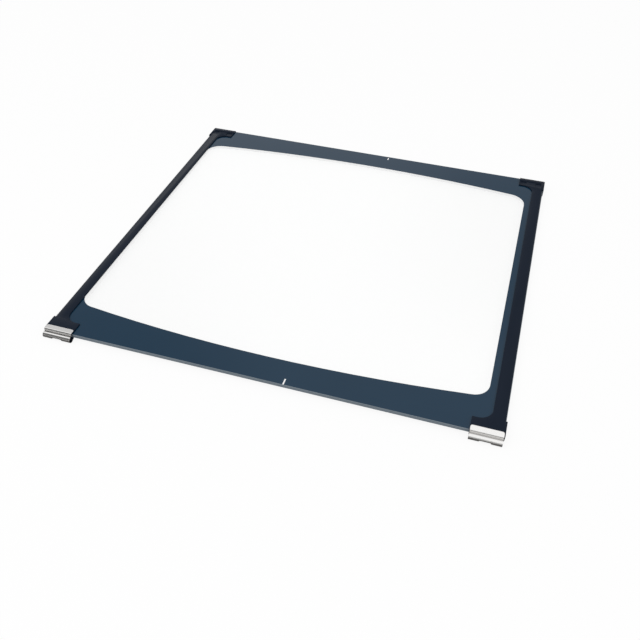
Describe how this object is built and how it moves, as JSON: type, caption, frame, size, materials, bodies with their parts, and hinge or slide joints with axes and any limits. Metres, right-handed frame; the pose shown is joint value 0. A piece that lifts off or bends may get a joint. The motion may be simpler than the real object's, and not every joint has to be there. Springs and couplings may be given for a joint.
{
  "type": "oven door glass",
  "caption": "Flat toughened oven door glass with a black enamel border, a moulded side trim that hooks round the corners at each side, and sprung metal corner clips.",
  "frame": {"origin": "middle of the part's outline in plan, on the plane that its far feet and its two rolled clips stand on", "axes": "+X across the pane, along its long side; +Y towards the end without clips; +Z out of the printed face"},
  "size_m": [0.4792, 0.461, 0.01],
  "materials": {
    "clear_glass": "clear float glass with a flat ground edge, its two arrises seamed",
    "black_enamel": "glossy black ceramic enamel, fired on the glass",
    "trim_plastic": "moulded black heat-resistant plastic, fine satin",
    "spring_steel": "bright rolled stainless spring strip"
  },
  "bodies": {
    "root": {"glass_pane": "clear_glass", "enamel_border": "black_enamel", "side_trim_left": "trim_plastic", "side_trim_right": "trim_plastic", "spring_clip_left": "spring_steel", "spring_clip_right": "spring_steel"}
  },
  "joints": []
}
